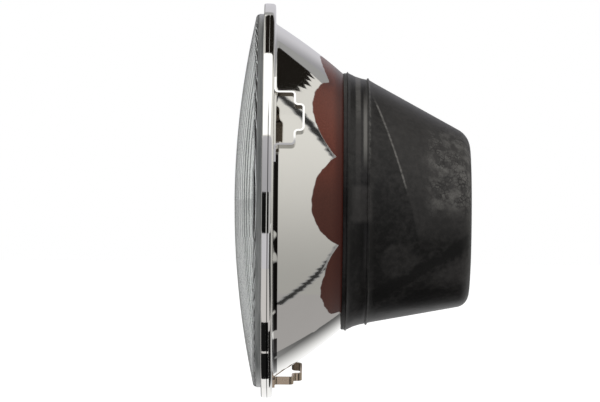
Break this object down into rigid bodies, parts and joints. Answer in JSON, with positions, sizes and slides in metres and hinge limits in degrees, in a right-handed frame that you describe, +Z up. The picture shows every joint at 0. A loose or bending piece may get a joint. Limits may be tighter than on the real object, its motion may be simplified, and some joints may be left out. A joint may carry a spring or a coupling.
{
  "type": "halogen headlight insert",
  "caption": "Round motorcycle headlight insert: domed glass lens in a pressed reflector, halogen bulb and sidelight behind, black rubber boot, spring clips on the rim.",
  "frame": {"origin": "on the lamp's axis, in the middle of the rim band's width", "axes": "+X along the lamp's axis from the lens to the boot, +Z up as the lamp is fitted, +Y to the far side in the picture"},
  "size_m": [0.1077, 0.18, 0.18],
  "materials": {
    "lens": "pressed, fluted inside",
    "lens_seal": "cured sealant",
    "reflector": "bright metallised steel",
    "clip_near": "bright spring strip",
    "clip_lower": "tinted spring strip",
    "clip_far": "bright spring strip",
    "boot_collar": "zinc plated",
    "boot": "moulded, scuffed",
    "bulb_seat": "zinc plated",
    "seat_rivets": "plated",
    "bail": "bright spring wire",
    "bulb_flange": "nickel plated",
    "bulb_base": "nickel plated",
    "bulb_insulator": "moulded resin",
    "terminal_left": "tinned",
    "terminal_right": "tinned",
    "terminal_top": "tinned",
    "bulb_glass": "clear",
    "bulb_leads": "bright wire",
    "dip_shield": "satin",
    "dip_filament": "coiled wire",
    "main_filament": "coiled wire",
    "side_tube": "zinc plated",
    "side_holder": "moulded",
    "side_cap": "bright",
    "side_glass": "clear",
    "side_filament": "coiled wire",
    "side_terminal": "tinned"
  },
  "bodies": {
    "root": {"lens": "lens", "lens_seal": "lens_seal", "reflector": "reflector", "clip_near": "clip_near", "clip_lower": "clip_lower", "clip_far": "clip_far", "boot_collar": "boot_collar", "boot": "boot", "bulb_seat": "bulb_seat", "seat_rivets": "seat_rivets", "bail": "bail", "bulb_flange": "bulb_flange", "bulb_base": "bulb_base", "bulb_insulator": "bulb_insulator", "terminal_left": "terminal_left", "terminal_right": "terminal_right", "terminal_top": "terminal_top", "bulb_glass": "bulb_glass", "bulb_leads": "bulb_leads", "dip_shield": "dip_shield", "dip_filament": "dip_filament", "main_filament": "main_filament", "side_tube": "side_tube", "side_holder": "side_holder", "side_cap": "side_cap", "side_glass": "side_glass", "side_filament": "side_filament", "side_terminal": "side_terminal"}
  },
  "joints": []
}
